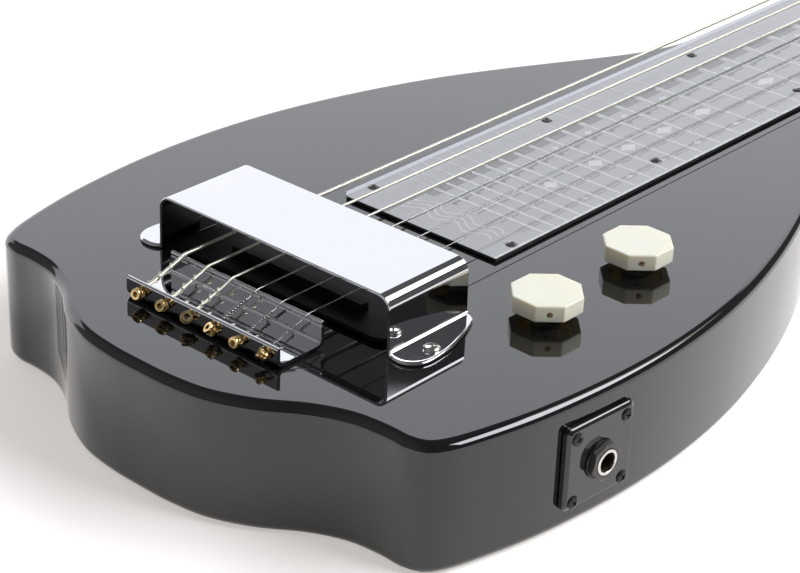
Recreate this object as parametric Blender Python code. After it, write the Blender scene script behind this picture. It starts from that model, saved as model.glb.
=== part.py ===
"""Six-string electric lap steel guitar, modelled as separate pieces.

Frame: the origin is on the underside, on the centreline, directly below the saddle.
+X runs to the headstock, +Y to the bass side and +Z up through the top.
Sizes below are in millimetres and MM turns them into metres.
"""

import math

import bmesh
import bpy
from mathutils import Matrix, Vector

MM = 0.001
GAP = 0.3  # clearance between neighbouring pieces

# body
THICK = 48.0
ROUND = 3.4
HEAD_Z0, HEAD_Z1, HEAD_ROUND = 23.0, 41.0, 2.5
BODY_HALF = (
    (-50.5, 0.0), (-50.2, 13.1), (-47.8, 29.0), (-40.9, 44.6), (-31.3, 58.6), (-25.7, 71.3),
    (-24.1, 83.8), (-24.2, 92.6), (-21.7, 99.9), (-15.6, 104.3), (-4.0, 108.2), (17.9, 113.3),
    (43.9, 116.8), (68.0, 118.3), (92.0, 117.9), (115.8, 115.7), (137.7, 112.0), (160.0, 106.6),
    (181.7, 100.0), (206.1, 90.9), (229.9, 79.8), (250.8, 69.0), (270.6, 58.5), (288.2, 49.9),
    (306.0, 44.2), (326.0, 41.8), (360.0, 41.1), (580.0, 41.0),
)
HEAD_HALF = (
    (562.0, 38.5), (590.0, 38.5), (640.0, 39.0), (684.0, 39.0), (704.0, 36.5), (716.0, 29.0),
    (721.5, 15.0), (723.0, 0.0),
)

# scale and strings
SCALE, SCALE_X = 571.5, 2.8  # the frets are counted from SCALE_X, the saddle sits just behind it
NUT_X = SCALE_X + SCALE
STRING_Y = (29.2, 17.5, 5.8, -5.8, -17.5, -29.2)
STRING_R = (0.71, 0.56, 0.43, 0.33, 0.23, 0.19)
SADDLE_TOP, NUT_TOP = 10.1, 10.1  # above the body top
POST_X, POST_Y, POST_R = (616.5, 651.5, 686.5), 27.0, 3.0

# fretboard plate
PLATE_X0, PLATE_Y0, PLATE_Y1, PLATE_THICK = 87.3, -37.0, 38.2, 1.2

# bridge
BRIDGE_X0, BRIDGE_X1, BRIDGE_Y0, BRIDGE_Y1 = -21.2, 0.6, -35.7, 35.7
BRIDGE_LIP, BRIDGE_WALL, BRIDGE_SHEET, STRING_HOLE = 7.8, 8.2, 1.4, 4.2
ROD_X, ROD_R = -0.1, 0.8

# pickup and its cover
COVER_X0, COVER_X1, COVER_TOP = 11.3, 50.9, 21.0
COVER_HALF, COVER_SHEET, COVER_BEND, COVER_LEAN = 54.4, 1.2, 5.0, 1.0
FOOT_SCREW = (22.8, 63.0)
FOOT_HALF = (
    (11.5, 53.9), (10.0, 56.0), (9.3, 58.6), (9.5, 61.8), (11.2, 64.8), (14.2, 66.9), (18.4, 67.7),
    (26.7, 67.0), (33.6, 65.3), (40.0, 63.2), (45.4, 60.9), (48.3, 59.2), (49.6, 57.5), (50.4, 55.6),
    (50.8, 53.9),
)
PICKUP_X = 25.5

# controls
KNOBS = (("volume", 69.6, -73.4), ("tone", 122.0, -72.8))
KNOB_R, KNOB_Z0, KNOB_Z1, KNOB_TURN = 13.05, 3.6, 9.7, 21.1
CAVITY = (38.0, 140.0, -94.0, -51.0)
CAVITY_TOP, CAVITY_RIM, CAVITY_LID = THICK - 6.0, 5.0, 2.0

# jack, in a local frame whose +Z is the outward normal of the side wall
JACK_AT, JACK_SLOPE = (42.95, -116.67, THICK - 24.7), 0.08
JACK_PLATE = (-15.9, 15.9, -14.8, 16.0)
JACK_REACH, JACK_MOUTH = 11.9, 3.5

# leg sockets
LEGS = (("bass", 8.0, 62.0), ("treble", 8.0, -62.0), ("neck", 380.0, 0.0))


def clear_scene():
    for obj in list(bpy.data.objects):
        bpy.data.objects.remove(obj, do_unlink=True)


def material(name, colour, metallic, roughness):
    mat = bpy.data.materials.new(name)
    mat.use_nodes = True
    shader = mat.node_tree.nodes["Principled BSDF"]
    shader.inputs["Base Color"].default_value = (*colour, 1.0)
    shader.inputs["Metallic"].default_value = metallic
    shader.inputs["Roughness"].default_value = roughness
    return mat


LACQUER = ((0.012, 0.012, 0.013), 0.0, 0.08)
CHROME = ((0.86, 0.87, 0.88), 1.0, 0.06)
NICKEL = ((0.74, 0.72, 0.68), 1.0, 0.18)
STEEL = ((0.58, 0.58, 0.57), 1.0, 0.30)
BRASS = ((0.72, 0.52, 0.24), 1.0, 0.25)
IVORY = ((0.90, 0.85, 0.66), 0.0, 0.30)
BLACK = ((0.02, 0.02, 0.02), 0.0, 0.35)
ACRYLIC = ((0.52, 0.55, 0.56), 0.0, 0.12)
COPPER = ((0.55, 0.20, 0.09), 1.0, 0.35)
BRONZE = ((0.66, 0.52, 0.30), 1.0, 0.32)


def new_object(name, bm, look=None, at=None):
    bmesh.ops.recalc_face_normals(bm, faces=bm.faces)
    for vert in bm.verts:
        vert.co *= MM
    mesh = bpy.data.meshes.new(name)
    bm.to_mesh(mesh)
    bm.free()
    obj = bpy.data.objects.new(name, mesh)
    bpy.context.scene.collection.objects.link(obj)
    if at is not None:
        obj.matrix_world = at
    if look is not None:
        mesh.materials.append(material(name + "_mat", *look))
    return obj


def loft(rings):
    """A closed solid through rings of equal length, with flat caps."""
    bm = bmesh.new()
    rows = [[bm.verts.new(point) for point in ring] for ring in rings]
    count = len(rows[0])
    for low, high in zip(rows, rows[1:]):
        for i in range(count):
            j = (i + 1) % count
            bm.faces.new((low[i], low[j], high[j], high[i]))
    bm.faces.new(rows[0][::-1])
    bm.faces.new(rows[-1])
    return bm


def prism(outline, z0, z1):
    return loft([[(x, y, z) for x, y in outline] for z in (z0, z1)])


def box(x0, x1, y0, y1, z0, z1):
    return prism(((x0, y0), (x1, y0), (x1, y1), (x0, y1)), z0, z1)


def circle(cx, cy, radius, count, turn=0.0):
    step = 2 * math.pi / count
    return [
        (cx + radius * math.cos(turn + i * step), cy + radius * math.sin(turn + i * step))
        for i in range(count)
    ]


def turned(profile, count, cx=0.0, cy=0.0, turn=0.0):
    """A solid of revolution about Z through rings of (radius, height)."""
    return loft([[(x, y, z) for x, y in circle(cx, cy, r, count, turn)] for r, z in profile])


def rounded_box(x0, x1, y0, y1, radius, steps=4):
    points = []
    for cx, cy, start in (
        (x1 - radius, y1 - radius, 0), (x0 + radius, y1 - radius, 90),
        (x0 + radius, y0 + radius, 180), (x1 - radius, y0 + radius, 270),
    ):
        for i in range(steps + 1):
            angle = math.radians(start + 90 * i / steps)
            points.append((cx + radius * math.cos(angle), cy + radius * math.sin(angle)))
    return points


def combine(obj, bm_or_obj, operation="DIFFERENCE", at=None):
    """Applies one exact Boolean and removes its tool."""
    tool = bm_or_obj
    if not isinstance(tool, bpy.types.Object):
        tool = new_object("tool", tool)
    if at is not None:
        tool.matrix_world = at
    bpy.context.view_layer.update()
    modifier = obj.modifiers.new("cut", "BOOLEAN")
    modifier.operation = operation
    modifier.solver = "EXACT"
    modifier.object = tool
    graph = bpy.context.evaluated_depsgraph_get()
    done = bpy.data.meshes.new_from_object(obj.evaluated_get(graph))
    obj.modifiers.remove(modifier)
    obj.data = done
    bpy.data.objects.remove(tool, do_unlink=True)
    return obj


def spline(points, step):
    """Catmull-Rom points about this far apart through the given ones."""
    out = []
    for i in range(len(points) - 1):
        p0 = Vector(points[max(i - 1, 0)])
        p1, p2 = Vector(points[i]), Vector(points[i + 1])
        p3 = Vector(points[min(i + 2, len(points) - 1)])
        count = max(1, min(4, round((p2 - p1).length / step)))
        for k in range(count):
            t = k / count
            out.append(
                0.5 * (2 * p1 + (p2 - p0) * t + (2 * p0 - 5 * p1 + 4 * p2 - p3) * t * t
                       + (3 * p1 - p0 - 3 * p2 + p3) * t ** 3)
            )
    out.append(Vector(points[-1]))
    return [(p.x, p.y) for p in out]


def inset(outline, distance):
    """The outline moved inwards along its corner normals; it runs anticlockwise."""
    count, out = len(outline), []
    for i in range(count):
        before, here, after = (Vector(outline[(i + k) % count]) for k in (-1, 0, 1))
        first, second = (here - before).normalized(), (after - here).normalized()
        n1, n2 = Vector((-first.y, first.x)), Vector((-second.y, second.x))
        normal = (n1 + n2).normalized()
        out.append(here + normal * distance / max(0.5, normal.dot(n1)))
    return [(p.x, p.y) for p in out]


def rounded_slab(outline, z0, z1, radius, steps=3):
    rings = []
    for side, base in ((-1, z0 + radius), (1, z1 - radius)):
        angles = [90 * i / steps for i in range(steps + 1)]
        for angle in angles[::-1] if side < 0 else angles:
            a = math.radians(angle)
            ring = inset(outline, radius * (1 - math.cos(a)))
            rings.append([(x, y, base + side * radius * math.sin(a)) for x, y in ring])
    return loft(rings)


def body_outline():
    half = spline(BODY_HALF, 12.0)
    bass = half[1:]
    treble = [(x, -y) for x, y in half]
    return treble + bass[::-1]


def head_outline():
    half = spline(HEAD_HALF, 12.0)
    treble = [(x, -y) for x, y in half]
    return treble + half[:-1][::-1]


def jack_frame(depth=0.0):
    """Local +Z leaves the side wall, local +Y stays vertical."""
    normal = Vector((-JACK_SLOPE, -1.0, 0.0)).normalized()
    up = Vector((0, 0, 1))
    across = up.cross(normal)
    turn = Matrix((across, up, normal)).transposed().to_4x4()
    return Matrix.Translation((Vector(JACK_AT) + normal * depth) * MM) @ turn


def cut_body_holes(body):
    x0, x1, y0, y1 = CAVITY
    combine(body, prism(rounded_box(x0, x1, y0, y1, 8), -1, CAVITY_TOP))
    rim = rounded_box(x0 - CAVITY_RIM, x1 + CAVITY_RIM, y0 - CAVITY_RIM, y1 + CAVITY_RIM, 12)
    combine(body, prism(rim, -1, CAVITY_LID))
    combine(body, prism(rounded_box(PICKUP_X - 10.5, PICKUP_X + 10.5, -40, 40, 4), THICK - 14, THICK + 1))
    for _, x, y in KNOBS:
        combine(body, turned(((4.0, CAVITY_TOP - 2), (4.0, THICK + 1)), 20, x, y))
    for _, x, y in LEGS:
        combine(body, turned(((20.3, -1), (20.3, 3.0), (7.8, 3.0), (7.8, 16.0)), 32, x, y))
    for side in (-1, 1):
        hole = circle(FOOT_SCREW[0], side * FOOT_SCREW[1], 1.7, 12)
        combine(body, prism(hole, THICK - 12, THICK + 1))
    for x in POST_X:
        for side in (-1, 1):
            combine(body, prism(circle(x, side * POST_Y, 3.6, 16), HEAD_Z0 - 1, HEAD_Z1 + 1))
    x0, x1, y0, y1 = JACK_PLATE
    combine(body, prism(rounded_box(x0 - 0.5, x1 + 0.5, y0 - 0.5, y1 + 0.5, 2.5), -0.5, 8), at=jack_frame())
    combine(body, prism(circle(0, 0, 8.4, 24), -32, 3), at=jack_frame())
    reach = JACK_REACH
    for sx in (-1, 1):
        for sy in (-1, 1):
            hole = circle(sx * reach, sy * reach, 1.5, 10)
            combine(body, prism(hole, -10, 3), at=jack_frame())


def build_body():
    body = new_object("body", rounded_slab(body_outline(), 0, THICK, ROUND, 4), LACQUER)
    head = rounded_slab(head_outline(), HEAD_Z0, HEAD_Z1, HEAD_ROUND, 3)
    combine(body, head, "UNION")
    cut_body_holes(body)


def build_fretboard():
    z0 = THICK + GAP
    x0, x1 = PLATE_X0, NUT_X - 0.6
    plan = [(x0, PLATE_Y0), (x1, PLATE_Y0), (x1, PLATE_Y1), (x0 + 3.0, PLATE_Y1), (x0, PLATE_Y1 - 3.4)]
    new_object("fretboard_plate", prism(plan, z0, z0 + PLATE_THICK), ACRYLIC)


def build_nut():
    x0, x1, z0, top = NUT_X, NUT_X + 5.0, THICK + GAP, THICK + NUT_TOP
    profile = ((x0, z0), (x1, z0), (x1, top - 1.6), (x1 - 1.8, top), (x0 + 0.4, top), (x0, top - 0.4))
    bm = loft([[(x, y, z) for x, z in profile] for y in (-35.5, 35.5)])
    new_object("nut", bm, NICKEL)


def build_bridge():
    t, z0 = BRIDGE_SHEET, THICK + GAP
    profile = (
        (BRIDGE_X0, z0), (BRIDGE_X1, z0), (BRIDGE_X1, THICK + BRIDGE_WALL),
        (BRIDGE_X1 - t, THICK + BRIDGE_WALL), (BRIDGE_X1 - t, z0 + t), (BRIDGE_X0 + t, z0 + t),
        (BRIDGE_X0 + t, THICK + BRIDGE_LIP), (BRIDGE_X0, THICK + BRIDGE_LIP),
    )
    bm = loft([[(x, y, z) for x, z in profile] for y in (BRIDGE_Y0, BRIDGE_Y1)])
    bridge = new_object("bridge_channel", bm, CHROME)
    across = Matrix.Rotation(math.radians(90), 4, "Y")
    for y in STRING_Y:
        at = Matrix.Translation(Vector((BRIDGE_X0 - 1, y, THICK + STRING_HOLE)) * MM) @ across
        combine(bridge, prism(circle(0, 0, 1.15, 10), 0, 4), at=at)
    rod = turned(((ROD_R, 0), (ROD_R, BRIDGE_Y1 - BRIDGE_Y0)), 12)
    at = Matrix.Translation(Vector((ROD_X, BRIDGE_Y0, THICK + SADDLE_TOP - ROD_R)) * MM)
    new_object("saddle_rod", rod, CHROME, at @ Matrix.Rotation(math.radians(-90), 4, "X"))


def tube_rings(path, radius, count):
    rings = []
    for i, here in enumerate(path):
        before, after = path[max(i - 1, 0)], path[min(i + 1, len(path) - 1)]
        along = (Vector(after) - Vector(before)).normalized()
        side = Vector((0, 1, 0)).cross(along).normalized()
        other = along.cross(side)
        rings.append([
            tuple(Vector(here) + radius * (side * math.cos(a) + other * math.sin(a)))
            for a in (2 * math.pi * k / count for k in range(count))
        ])
    return rings


def string_path(index):
    y, r = STRING_Y[index], STRING_R[index]
    on_saddle = THICK + SADDLE_TOP + GAP + r
    on_nut = THICK + NUT_TOP + GAP + r
    order = index if index < 3 else 5 - index
    side = 1 if y > 0 else -1
    post_x, post_y = POST_X[order], side * (POST_Y - POST_R - GAP - r)
    return [
        (BRIDGE_X0 - 1.9, y, THICK + STRING_HOLE), (BRIDGE_X0 + 1.6, y, THICK + STRING_HOLE),
        (-3.4, y, on_saddle - 0.75), (-1.6, y, on_saddle - 0.08), (0.4, y, on_saddle),
        (NUT_X + 0.6, y, on_nut), (NUT_X + 3.0, y, on_nut), (NUT_X + 5.2, y * 0.99, on_nut - 0.6),
        (post_x - 3, post_y, HEAD_Z1 + 6.6), (post_x + 2.6, post_y, HEAD_Z1 + 6.4),
    ]


def build_strings():
    for index, y in enumerate(STRING_Y):
        look = BRONZE if index < 3 else STEEL
        bm = loft(tube_rings(string_path(index), STRING_R[index], 8))
        string = new_object(f"string_{index + 1}", bm, look)
        ball = turned(((1.5, -1.8), (2.0, -1.3), (2.0, 1.3), (1.5, 1.8)), 14)
        at = Matrix.Translation(Vector((BRIDGE_X0 - 2.1, y, THICK + STRING_HOLE)) * MM)
        combine(string, ball, "UNION", at)


def arc(cx, cz, radius, start, end, steps):
    return [
        (cx + radius * math.cos(math.radians(start + (end - start) * i / steps)),
         cz + radius * math.sin(math.radians(start + (end - start) * i / steps)))
        for i in range(steps + 1)
    ]


def cover_section():
    """The bent sheet in the YZ plane, outside then inside."""
    z0, top, t, r = THICK + GAP, THICK + COVER_TOP, COVER_SHEET, COVER_BEND
    spread = (top - r - z0) * math.tan(math.radians(COVER_LEAN))
    outer = [(COVER_HALF + spread, z0)] + arc(COVER_HALF - r, top - r, r, COVER_LEAN, 90, 5)
    inner = [(COVER_HALF + spread - t, z0)] + arc(COVER_HALF - r, top - r, r - t, COVER_LEAN, 90, 5)
    outer += [(-y, z) for y, z in outer[::-1]]
    inner += [(-y, z) for y, z in inner[::-1]]
    return outer + inner[::-1]


def build_cover():
    section = cover_section()
    bm = loft([[(x, y, z) for y, z in section] for x in (COVER_X0, COVER_X1)])
    cover = new_object("pickup_cover", bm, CHROME)
    for side in (-1, 1):
        plan = [(x, side * y) for x, y in spline(FOOT_HALF, 2.5)]
        foot = new_object("tool", prism(plan, THICK + GAP, THICK + GAP + COVER_SHEET))
        combine(cover, foot, "UNION")
        x, y = FOOT_SCREW[0], side * FOOT_SCREW[1]
        combine(cover, prism(circle(x, y, 1.7, 12), THICK - 1, THICK + 3))
        z = THICK + GAP + COVER_SHEET
        screw = ((1.3, THICK - 11.4), (1.3, z + GAP), (2.9, z + GAP), (2.7, z + 0.9), (1.9, z + 1.6),
                 (0.8, z + 1.9))
        name = "cover_screw_bass" if side > 0 else "cover_screw_treble"
        new_object(name, turned(screw, 16, x, y), NICKEL)


def build_pickup():
    x, base = PICKUP_X, THICK - 14 + GAP
    plate = prism(rounded_box(x - 10, x + 10, -39, 39, 3), base, base + 1.4)
    new_object("pickup_base", plate, NICKEL)
    z = base + 1.4 + GAP
    for side, name in ((-1, "pickup_magnet_rear"), (1, "pickup_magnet_front")):
        x0, x1 = sorted((x + side * 2.2, x + side * 8.0))
        new_object(name, box(x0, x1, -30, 30, z, z + 4.2), STEEL)
    new_object("pickup_blade", box(x - 1.6, x + 1.6, -31, 31, z, THICK + 5.0), STEEL)
    low, high = z + 4.2 + GAP, THICK + 2.2
    bobbin = new_object(
        "pickup_bobbin", prism(rounded_box(x - 10, x + 10, -37, 37, 8), low, high), BLACK
    )
    ring = new_object("tool", prism(rounded_box(x - 13, x + 13, -40, 40, 9), low + 1.5, high - 1.5))
    combine(ring, prism(rounded_box(x - 3.4, x + 3.4, -33.4, 33.4, 3), low, high))
    combine(bobbin, ring)
    flange = prism(rounded_box(x - 11.5, x + 11.5, -50, 50, 6), high - 1.5, high)
    combine(bobbin, new_object("tool", flange), "UNION")
    combine(bobbin, box(x - 1.9, x + 1.9, -31.3, 31.3, low - 1, high + 1))
    coil = new_object(
        "pickup_coil", prism(rounded_box(x - 8.6, x + 8.6, -36, 36, 7), low + 1.8, high - 1.8), COPPER
    )
    combine(coil, prism(rounded_box(x - 3.7, x + 3.7, -33.7, 33.7, 3), low, high))


def build_knob(name, x, y):
    turn = math.radians(KNOB_TURN)
    low, high = THICK + KNOB_Z0, THICK + KNOB_Z1
    knob = new_object(
        f"{name}_knob",
        turned(((KNOB_R, low), (KNOB_R, high - 0.7), (KNOB_R - 0.9, high)), 8, 0, 0, turn),
        IVORY, Matrix.Translation(Vector((x, y, 0)) * MM),
    )
    at = Matrix.Translation(Vector((x, y, 0)) * MM)
    hollow = turned(((10.2, low - 1), (10.2, low + 3.4)), 8, 0, 0, turn)
    post = turned(((5.0, low - 2), (5.0, low + 5)), 20)
    hollow = new_object("tool", hollow, None, at)
    combine(hollow, post, at=at)
    combine(knob, hollow)
    combine(knob, turned(((3.3, low - 1), (3.3, low + 4.6)), 20), at=at)
    across = at @ Matrix.Translation((0, 0, (low + 2.6) * MM))
    across = across @ Matrix.Rotation(math.radians(KNOB_TURN + 22.5 - 180), 4, "Z")
    across = across @ Matrix.Rotation(math.radians(90), 4, "Y")
    combine(knob, prism(circle(0, 0, 1.1, 10), 2.0, 14), at=across)
    shaft = turned(((3.0, CAVITY_TOP - 8.0), (3.0, low + 4.2)), 20)
    new_object(f"{name}_pot_shaft", shaft, STEEL, at)


def build_pot(name, x, y):
    """Can, bushing and three solder lugs, bored for the shaft."""
    at = Matrix.Translation(Vector((x, y, 0)) * MM)
    top = CAVITY_TOP - GAP
    can = ((8.4, top - 11.0), (8.4, top - 0.8), (7.8, top), (3.6, top), (3.6, THICK + 3.2))
    pot = new_object(f"{name}_pot", turned(can, 24), STEEL, at)
    for k in (-1, 0, 1):
        lug = box(k * 5 - 1, k * 5 + 1, -15, -7, top - 10, top - 9)
        combine(pot, lug, "UNION", at)
    combine(pot, turned(((3.3, top - 8.5), (3.3, THICK + 4)), 20), at=at)
    hexagon = turned(((6.2, THICK + GAP), (6.2, THICK + 2.1), (5.7, THICK + 2.5)), 6)
    nut = new_object(f"{name}_pot_nut", hexagon, NICKEL, at)
    combine(nut, turned(((3.9, THICK - 1), (3.9, THICK + 4)), 20), at=at)


def build_controls():
    for name, x, y in KNOBS:
        build_knob(name, x, y)
        build_pot(name, x, y)
    x0, x1, y0, y1 = CAVITY
    rim = CAVITY_RIM - GAP
    lid = rounded_box(x0 - rim, x1 + rim, y0 - rim, y1 + rim, 12 - GAP)
    new_object("cavity_cover", prism(lid, 0, CAVITY_LID - GAP), BLACK)


def build_jack():
    x0, x1, y0, y1 = JACK_PLATE
    back = -0.5 + GAP
    front = back + 2.7
    square = [rounded_box(x0 + d, x1 - d, y0 + d, y1 - d, 2.2) for d in (0, 0, 1.1)]
    rings = [[(x, y, z) for x, y in ring] for ring, z in zip(square, (back, front - 1.1, front))]
    plate = new_object("jack_plate", loft(rings), BLACK, jack_frame())
    combine(plate, prism(circle(0, 0, 5.0, 24), -2, 5), at=jack_frame())
    for i, (sx, sy) in enumerate(((-1, 1), (1, 1), (1, -1), (-1, -1))):
        x, y = sx * JACK_REACH, sy * JACK_REACH
        combine(plate, prism(circle(x, y, 1.5, 10), -2, 5), at=jack_frame())
        screw = ((1.2, -8.0), (1.2, front + GAP), (2.5, front + GAP), (2.3, front + 0.7),
                 (1.4, front + 1.2), (0.6, front + 1.35))
        new_object(f"jack_screw_{i + 1}", turned(screw, 14, x, y), NICKEL, jack_frame())
    mouth = front + JACK_MOUTH
    socket = ((7.2, -28.0), (7.2, back - GAP - 1.4), (4.7, back - GAP - 1.4), (4.7, mouth))
    jack = new_object("jack_socket", turned(socket, 24), NICKEL, jack_frame())
    combine(jack, prism(circle(0, 0, 3.35, 20), -22, mouth + 2), at=jack_frame())
    washer = new_object("jack_washer", turned(((7.2, front + GAP), (7.2, front + 0.8)), 24), BLACK,
                        jack_frame())
    combine(washer, prism(circle(0, 0, 5.0, 24), -2, 9), at=jack_frame())
    low = front + 0.8 + GAP
    hexagon = turned(((7.4, low), (7.4, low + 1.2), (6.4, low + 1.9)), 6, 0, 0, 0.3)
    nut = new_object("jack_nut", hexagon, BLACK, jack_frame())
    combine(nut, prism(circle(0, 0, 5.0, 24), -2, 12), at=jack_frame())


def build_legs():
    for name, x, y in LEGS:
        at = Matrix.Translation(Vector((x, y, 0)) * MM)
        profile = ((19.2, 0), (20.0, 0.8), (20.0, 2.7), (7.4, 2.7), (7.4, 15.4))
        socket = new_object(f"leg_socket_{name}", turned(profile, 32), NICKEL, at)
        combine(socket, turned(((4.6, -1), (4.6, 13.0)), 20), at=at)
        for k in range(3):
            a = 2 * math.pi * k / 3
            hole = circle(14 * math.cos(a), 14 * math.sin(a), 1.7, 10)
            combine(socket, prism(hole, -1, 4), at=at)


WORM_Z, WORM_OUT, BUTTON_Y = HEAD_Z0 - 6.0, 9.7, 42.5


def tuner_plate(name, side):
    """One strip with three post holes and six bearing lugs below it."""
    top = HEAD_Z0 - GAP
    y0, y1 = POST_Y - 11.0, POST_Y + 11.0
    x0, x1 = POST_X[0] - 12.0, POST_X[2] + 18.0
    plate = new_object(name, prism(rounded_box(x0, x1, y0, y1, 4), top - 1.2, top), NICKEL)
    for x in POST_X:
        for ly in (POST_Y - 9.6, POST_Y + 7.4):
            lug = box(x + WORM_OUT - 3.4, x + WORM_OUT + 3.4, ly, ly + 2.2, WORM_Z - 3.4, top - 0.6)
            combine(plate, lug, "UNION")
            at = Matrix.Translation(Vector((x + WORM_OUT, ly - 1, WORM_Z)) * MM)
            bore = prism(circle(0, 0, 2.2, 14), 0, 5)
            combine(plate, bore, at=at @ Matrix.Rotation(math.radians(-90), 4, "X"))
        combine(plate, prism(circle(x, POST_Y, 3.6, 16), top - 3, top + 1))
    if side < 0:
        mirror(plate)
    return plate


def mirror(obj):
    """Reflects the mesh in the XZ plane and keeps its faces pointing out."""
    bm = bmesh.new()
    bm.from_mesh(obj.data)
    for vert in bm.verts:
        vert.co.y = -vert.co.y
    bmesh.ops.reverse_faces(bm, faces=bm.faces)
    bm.to_mesh(obj.data)
    bm.free()


def build_tuner(label, x, side):
    """Post with its gear, worm shaft and button; the post and the shaft turn."""
    y = side * POST_Y
    gear = ((6.1, WORM_Z - 2.0), (6.1, WORM_Z + 2.0), (POST_R, WORM_Z + 2.0),
            (POST_R, HEAD_Z1 + 5.2), (POST_R - 0.5, HEAD_Z1 + 6.4), (POST_R, HEAD_Z1 + 7.6),
            (POST_R, HEAD_Z1 + 10.5), (POST_R - 0.6, HEAD_Z1 + 11.0))
    at = Matrix.Translation(Vector((x, y, 0)) * MM)
    new_object(f"tuner_post_{label}", turned(gear, 18), NICKEL, at)
    start = POST_Y - 10.2
    worm = ((1.9, 0), (1.9, 4.8), (3.1, 5.2), (3.1, 15.2), (1.9, 15.6),
            (1.9, BUTTON_Y + 9.0 - start))
    turn = Matrix.Rotation(math.radians(-90 * side), 4, "X")
    at = Matrix.Translation(Vector((x + WORM_OUT, side * start, WORM_Z)) * MM) @ turn
    new_object(f"tuner_worm_{label}", turned(worm, 16), NICKEL, at)
    rings = []
    for along, wide, thick in ((0, 3.4, 3.4), (1.6, 3.6, 3.4), (3.6, 6.4, 3.6), (7.0, 8.2, 4.0),
                               (11.0, 8.0, 4.0), (14.5, 6.0, 3.4), (16.0, 3.4, 2.2)):
        rings.append([(wide * math.cos(a), thick * math.sin(a), along)
                      for a in (2 * math.pi * k / 20 for k in range(20))])
    at = Matrix.Translation(Vector((x + WORM_OUT, side * BUTTON_Y, WORM_Z)) * MM) @ turn
    button = new_object(f"tuner_button_{label}", loft(rings), IVORY, at)
    combine(button, turned(((2.2, -1), (2.2, 9.4)), 16), at=at)


def build_tuners():
    tuner_plate("tuner_plate_bass", 1)
    tuner_plate("tuner_plate_treble", -1)
    for i, x in enumerate(POST_X):
        build_tuner(str(i + 1), x, 1)
        build_tuner(str(6 - i), x, -1)


def main():
    clear_scene()
    build_body()
    build_fretboard()
    build_nut()
    build_bridge()
    build_strings()
    build_cover()
    build_pickup()
    build_controls()
    build_jack()
    build_legs()
    build_tuners()


main()
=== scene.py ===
"""Looks of the lap steel guitar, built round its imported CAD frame. Sizes here are millimetres."""

import math

import bmesh
import bpy
from mathutils import Matrix, Vector


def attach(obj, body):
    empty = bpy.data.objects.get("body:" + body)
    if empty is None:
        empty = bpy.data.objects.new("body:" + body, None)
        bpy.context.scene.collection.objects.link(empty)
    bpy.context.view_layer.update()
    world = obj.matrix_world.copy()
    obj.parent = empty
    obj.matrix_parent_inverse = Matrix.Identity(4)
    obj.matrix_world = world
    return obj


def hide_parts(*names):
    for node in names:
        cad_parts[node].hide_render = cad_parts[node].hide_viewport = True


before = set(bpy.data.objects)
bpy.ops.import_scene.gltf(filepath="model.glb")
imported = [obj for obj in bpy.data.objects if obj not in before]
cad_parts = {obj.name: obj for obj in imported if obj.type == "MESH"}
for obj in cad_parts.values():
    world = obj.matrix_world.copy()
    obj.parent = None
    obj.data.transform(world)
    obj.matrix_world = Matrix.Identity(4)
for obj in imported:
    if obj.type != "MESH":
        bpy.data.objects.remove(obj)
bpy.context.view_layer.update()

MM = 0.001
GAP = 0.3  # clearance between a piece and the one it rests on

# body
THICK = 48.0
ROUND = 3.4
HEAD_Z0, HEAD_Z1, HEAD_ROUND = 23.0, 41.0, 2.5
BODY_HALF = (
    (-50.5, 0.0), (-50.2, 13.1), (-47.8, 29.0), (-40.9, 44.6), (-31.3, 58.6), (-25.7, 71.3),
    (-24.1, 83.8), (-24.2, 92.6), (-21.7, 99.9), (-15.6, 104.3), (-4.0, 108.2), (17.9, 113.3),
    (43.9, 116.8), (68.0, 118.3), (92.0, 117.9), (115.8, 115.7), (137.7, 112.0), (160.0, 106.6),
    (181.7, 100.0), (206.1, 90.9), (229.9, 79.8), (250.8, 69.0), (270.6, 58.5), (288.2, 49.9),
    (306.0, 44.2), (326.0, 41.8), (360.0, 41.1), (580.0, 41.0),
)
HEAD_HALF = (
    (562.0, 38.5), (590.0, 38.5), (640.0, 39.0), (684.0, 39.0), (704.0, 36.5), (716.0, 29.0),
    (721.5, 15.0), (723.0, 0.0),
)

# scale and strings
SCALE, SCALE_X = 571.5, 2.8  # the frets are counted from SCALE_X, the saddle sits just behind it
NUT_X = SCALE_X + SCALE
STRING_Y = (29.2, 17.5, 5.8, -5.8, -17.5, -29.2)
STRING_R = (0.71, 0.56, 0.43, 0.33, 0.23, 0.19)
SADDLE_TOP = NUT_TOP = 10.1  # above the body top
LOCK_TURNS, LOCK_REACH = (3, 3, 4, 12, 14, 15), (0.95, 0.95, 0.9, 0.95, 0.95, 0.9)
BALL_TILT, BALL_TURN = (72, 64, 25, 38, 78, 30), (18, 30, 40, -25, 20, -60)  # degrees

# fretboard plate
FRETS = 28
MARKED_FRETS = (3, 5, 7, 9, 12, 15, 17, 19, 21, 24)
PLATE_X0, PLATE_X1, PLATE_Y0, PLATE_Y1 = 87.3, NUT_X - 0.6, -37.0, 38.2
PLATE_TOP, PLATE_CORNER = THICK + 1.5, 3.4
LINE_SPLIT = 16.5  # across the plate, where a fret line turns from bright to faint
PLATE_SCREWS = ((100.5, 33.4), (197.2, 27.1), (298.6, 27.1), (400.0, 27.1), (500.0, 27.1),
                (560.0, 31.5))

# bridge
BRIDGE_X0, BRIDGE_X1, BRIDGE_HALF = -21.2, 0.6, 35.7
BRIDGE_LIP, BRIDGE_WALL, BRIDGE_SHEET, STRING_HOLE = 7.8, 8.2, 1.4, 4.2
ROD_X, ROD_R = -0.1, 0.8

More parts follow.
